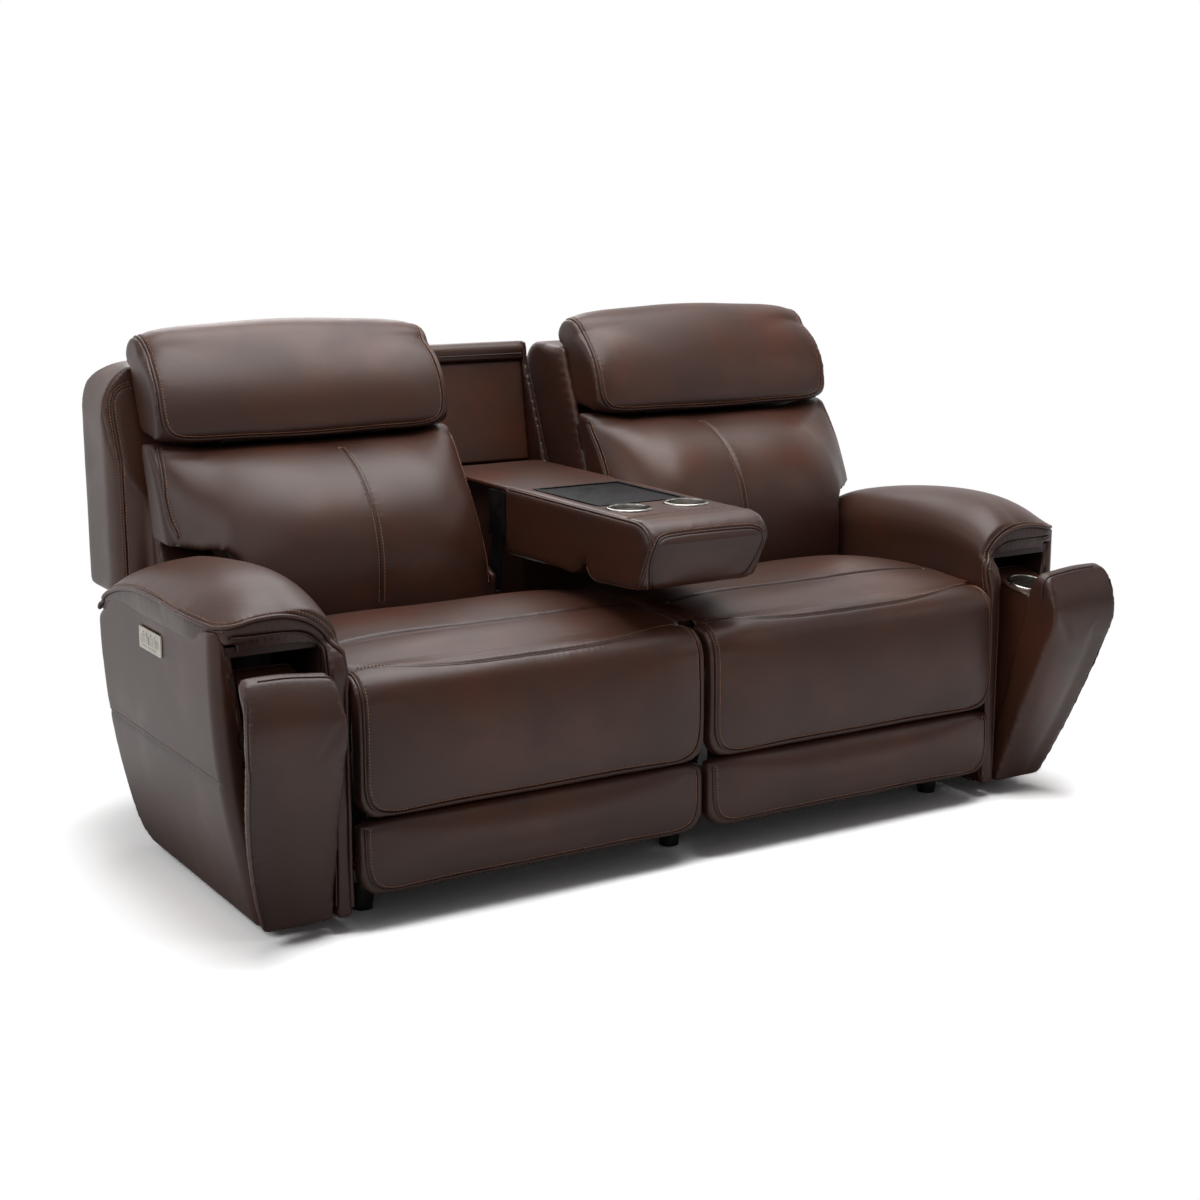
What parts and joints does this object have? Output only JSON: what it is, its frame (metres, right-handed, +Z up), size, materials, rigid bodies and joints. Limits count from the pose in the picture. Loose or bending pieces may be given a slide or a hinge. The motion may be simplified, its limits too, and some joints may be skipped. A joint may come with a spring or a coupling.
{
  "type": "power reclining loveseat",
  "caption": "Power reclining loveseat with padded arms, footrests, tilting headrests, a fold-down centre table with cup holders and tilt-out arm bins.",
  "frame": {"origin": "middle of the footprint, on the floor", "axes": "+X towards the right arm seen from the front, +Y to the back, +Z up"},
  "size_m": [2.0006, 1.1412, 1.0505],
  "materials": {
    "leather": "semi-gloss dark brown upholstery leather",
    "frame_steel": "black powder coat",
    "spring_steel": "bare spring wire",
    "wood": "plain frame board",
    "steel": "spun stainless cup",
    "black_plastic": "fine-grain moulding",
    "plate": "satin champagne silver",
    "rocker": "satin champagne silver"
  },
  "bodies": {
    "base": {"base_frame": "frame_steel", "feet": "black_plastic", "power_supply": "black_plastic", "console_frame": "leather", "console_panel": "leather", "arm_frame_left": "wood", "arm_panel_left": "leather", "arm_pad_left": "leather", "control_plate_left": "plate", "arm_frame_right": "wood", "arm_panel_right": "leather", "arm_pad_right": "leather", "control_plate_right": "plate"},
    "seat_left": {"seat_frame_left": "frame_steel", "seat_springs_left": "spring_steel", "seat_cushion_left": "leather", "recline_motor_left": "black_plastic"},
    "back_left": {"back_frame_left": "wood", "back_cushion_left": "leather", "back_shell_left": "leather"},
    "headrest_left": {"headrest_bracket_left": "frame_steel", "headrest_pad_left": "leather"},
    "footrest_left": {"footrest_frame_left": "wood", "footrest_upper_pad_left": "leather", "footrest_lower_pad_left": "leather"},
    "crank_left": {"torque_tube_left": "frame_steel"},
    "drag_left": {"drag_links_left": "frame_steel"},
    "block_left": {"motor_block_left": "black_plastic"},
    "bin_left": {"bin_panel_left": "leather", "bin_box_left": "leather", "bin_cup_left": "steel"},
    "recline_switch_left": {"recline_rocker_left": "rocker"},
    "headrest_switch_left": {"headrest_rocker_left": "rocker"},
    "seat_right": {"seat_frame_right": "frame_steel", "seat_springs_right": "spring_steel", "seat_cushion_right": "leather", "recline_motor_right": "black_plastic"},
    "back_right": {"back_frame_right": "wood", "back_cushion_right": "leather", "back_shell_right": "leather"},
    "headrest_right": {"headrest_bracket_right": "frame_steel", "headrest_pad_right": "leather"},
    "footrest_right": {"footrest_frame_right": "wood", "footrest_upper_pad_right": "leather", "footrest_lower_pad_right": "leather"},
    "crank_right": {"torque_tube_right": "frame_steel"},
    "drag_right": {"drag_links_right": "frame_steel"},
    "block_right": {"motor_block_right": "black_plastic"},
    "bin_right": {"bin_panel_right": "leather", "bin_box_right": "leather", "bin_cup_right": "steel"},
    "recline_switch_right": {"recline_rocker_right": "rocker"},
    "headrest_switch_right": {"headrest_rocker_right": "rocker"},
    "table": {"table_frame": "black_plastic", "table_pad": "leather", "table_tray": "black_plastic", "table_cups": "steel"}
  },
  "joints": [
    {"name": "seat_slide_left", "type": "slide", "parent": "base", "child": "seat_left", "axis": [0, -1, 0], "range_m": [0, 0.0602]},
    {"name": "back_recline_left", "type": "hinge", "parent": "seat_left", "child": "back_left", "pos_m": [-0.3785, 0.17557, 0.36], "axis": [-1, 0, 0], "range_deg": [0, 27]},
    {"name": "headrest_tilt_left", "type": "hinge", "parent": "back_left", "child": "headrest_left", "pos_m": [-0.3785, 0.28757, 0.816], "axis": [1, 0, 0], "range_deg": [0, 25]},
    {"name": "footrest_swing_left", "type": "hinge", "parent": "seat_left", "child": "footrest_left", "pos_m": [-0.3785, -0.40243, 0.42], "axis": [-1, 0, 0], "range_deg": [0, 84]},
    {"name": "crank_turn_left", "type": "hinge", "parent": "seat_left", "child": "crank_left", "pos_m": [-0.3785, -0.16443, 0.3], "axis": [-1, 0, 0], "range_deg": [0, 84.1]},
    {"name": "drag_swing_left", "type": "hinge", "parent": "crank_left", "child": "drag_left", "pos_m": [-0.3785, -0.12143, 0.13], "axis": [-1, 0, 0], "range_deg": [-84.1, 0]},
    {"name": "block_slide_left", "type": "slide", "parent": "seat_left", "child": "block_left", "axis": [0, -1, 0], "range_m": [0, 0.12064]},
    {"name": "bin_tip_left", "type": "hinge", "parent": "base", "child": "bin_left", "pos_m": [-0.87, -0.37243, 0.052], "axis": [-1, 0, 0], "range_deg": [0, 12]},
    {"name": "recline_press_left", "type": "hinge", "parent": "base", "child": "recline_switch_left", "pos_m": [-0.9885, -0.05443, 0.49999], "axis": [0.0053, 0, 1], "range_deg": [-4, 4], "stiffness_Nm_per_rad": 0.25},
    {"name": "headrest_press_left", "type": "hinge", "parent": "base", "child": "headrest_switch_left", "pos_m": [-0.9885, -0.09543, 0.49999], "axis": [0.0053, 0, 1], "range_deg": [-4, 4], "stiffness_Nm_per_rad": 0.25},
    {"name": "seat_slide_right", "type": "slide", "parent": "base", "child": "seat_right", "axis": [0, -1, 0], "range_m": [0, 0.0602]},
    {"name": "back_recline_right", "type": "hinge", "parent": "seat_right", "child": "back_right", "pos_m": [0.3785, 0.17557, 0.36], "axis": [-1, 0, 0], "range_deg": [0, 27]},
    {"name": "headrest_tilt_right", "type": "hinge", "parent": "back_right", "child": "headrest_right", "pos_m": [0.3785, 0.28757, 0.816], "axis": [1, 0, 0], "range_deg": [0, 25]},
    {"name": "footrest_swing_right", "type": "hinge", "parent": "seat_right", "child": "footrest_right", "pos_m": [0.3785, -0.40243, 0.42], "axis": [-1, 0, 0], "range_deg": [0, 84]},
    {"name": "crank_turn_right", "type": "hinge", "parent": "seat_right", "child": "crank_right", "pos_m": [0.3785, -0.16443, 0.3], "axis": [-1, 0, 0], "range_deg": [0, 84.1]},
    {"name": "drag_swing_right", "type": "hinge", "parent": "crank_right", "child": "drag_right", "pos_m": [0.3785, -0.12143, 0.13], "axis": [-1, 0, 0], "range_deg": [-84.1, 0]},
    {"name": "block_slide_right", "type": "slide", "parent": "seat_right", "child": "block_right", "axis": [0, -1, 0], "range_m": [0, 0.12064]},
    {"name": "bin_tip_right", "type": "hinge", "parent": "base", "child": "bin_right", "pos_m": [0.87, -0.37243, 0.052], "axis": [-1, 0, 0], "range_deg": [0, 12]},
    {"name": "recline_press_right", "type": "hinge", "parent": "base", "child": "recline_switch_right", "pos_m": [0.9885, -0.05443, 0.49999], "axis": [-0.0053, 0, 1], "range_deg": [-4, 4], "stiffness_Nm_per_rad": 0.25},
    {"name": "headrest_press_right", "type": "hinge", "parent": "base", "child": "headrest_switch_right", "pos_m": [0.9885, -0.09543, 0.49999], "axis": [-0.0053, 0, 1], "range_deg": [-4, 4], "stiffness_Nm_per_rad": 0.25},
    {"name": "table_fold", "type": "hinge", "parent": "base", "child": "table", "pos_m": [0, 0.15557, 0.481], "axis": [-1, 0, 0], "range_deg": [0, 105]}
  ],
  "couplings": [
    {"joint": "seat_slide_left", "follows": "back_recline_left", "m_per_rad": 0.12732},
    {"joint": "crank_turn_left", "follows": "footrest_swing_left", "ratio": 1},
    {"joint": "drag_swing_left", "follows": "footrest_swing_left", "ratio": -1},
    {"joint": "block_slide_left", "follows": "footrest_swing_left", "m_per_rad": 0.082154},
    {"joint": "seat_slide_right", "follows": "back_recline_right", "m_per_rad": 0.12732},
    {"joint": "crank_turn_right", "follows": "footrest_swing_right", "ratio": 1},
    {"joint": "drag_swing_right", "follows": "footrest_swing_right", "ratio": -1},
    {"joint": "block_slide_right", "follows": "footrest_swing_right", "m_per_rad": 0.082154}
  ]
}
